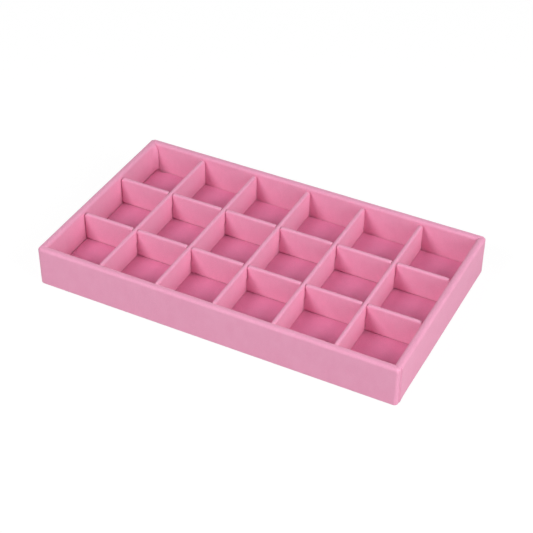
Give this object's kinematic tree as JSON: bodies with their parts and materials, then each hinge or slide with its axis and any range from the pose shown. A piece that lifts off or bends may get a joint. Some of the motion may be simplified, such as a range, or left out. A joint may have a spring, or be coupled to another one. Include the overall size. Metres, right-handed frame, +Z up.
{
  "type": "jewelry organizer tray",
  "caption": "Shallow rectangular velvet-covered tray with a lift-out grid of cross-lapped dividers that parts it into small square compartments.",
  "frame": {"origin": "middle of the underside, on the plane that the tray rests on", "axes": "+X along the long side, +Z up, out of the open compartments; the front long wall faces -Y"},
  "size_m": [0.3, 0.173, 0.034],
  "materials": {
    "velvet": "soft pink velvet pile",
    "floor_velvet": "deeper pink velvet pile",
    "board": "raw fibreboard",
    "card": "grey pressed card",
    "backing_paper": "matt pink flocked paper"
  },
  "bodies": {
    "tray": {"front_wall_board": "board", "back_wall_board": "board", "left_wall_board": "board", "right_wall_board": "board", "base_board": "board", "floor_card": "card", "floor_cover": "floor_velvet", "wall_cover": "velvet", "base_sheet": "backing_paper"},
    "divider_grid": {"front_long_divider_card": "card", "front_long_divider_cover": "velvet", "back_long_divider_card": "card", "back_long_divider_cover": "velvet"},
    "short_divider_1": {"short_divider_1_card": "card", "short_divider_1_cover": "velvet"},
    "short_divider_2": {"short_divider_2_card": "card", "short_divider_2_cover": "velvet"},
    "short_divider_3": {"short_divider_3_card": "card", "short_divider_3_cover": "velvet"},
    "short_divider_4": {"short_divider_4_card": "card", "short_divider_4_cover": "velvet"},
    "short_divider_5": {"short_divider_5_card": "card", "short_divider_5_cover": "velvet"}
  },
  "joints": [
    {"name": "divider_grid_lift", "type": "slide", "parent": "tray", "child": "divider_grid", "axis": [0, 0, 1], "range_m": [0, 0.03]},
    {"name": "short_divider_1_lift", "type": "slide", "parent": "divider_grid", "child": "short_divider_1", "axis": [0, 0, 1], "range_m": [0, 0.03]},
    {"name": "short_divider_2_lift", "type": "slide", "parent": "divider_grid", "child": "short_divider_2", "axis": [0, 0, 1], "range_m": [0, 0.03]},
    {"name": "short_divider_3_lift", "type": "slide", "parent": "divider_grid", "child": "short_divider_3", "axis": [0, 0, 1], "range_m": [0, 0.03]},
    {"name": "short_divider_4_lift", "type": "slide", "parent": "divider_grid", "child": "short_divider_4", "axis": [0, 0, 1], "range_m": [0, 0.03]},
    {"name": "short_divider_5_lift", "type": "slide", "parent": "divider_grid", "child": "short_divider_5", "axis": [0, 0, 1], "range_m": [0, 0.03]}
  ]
}
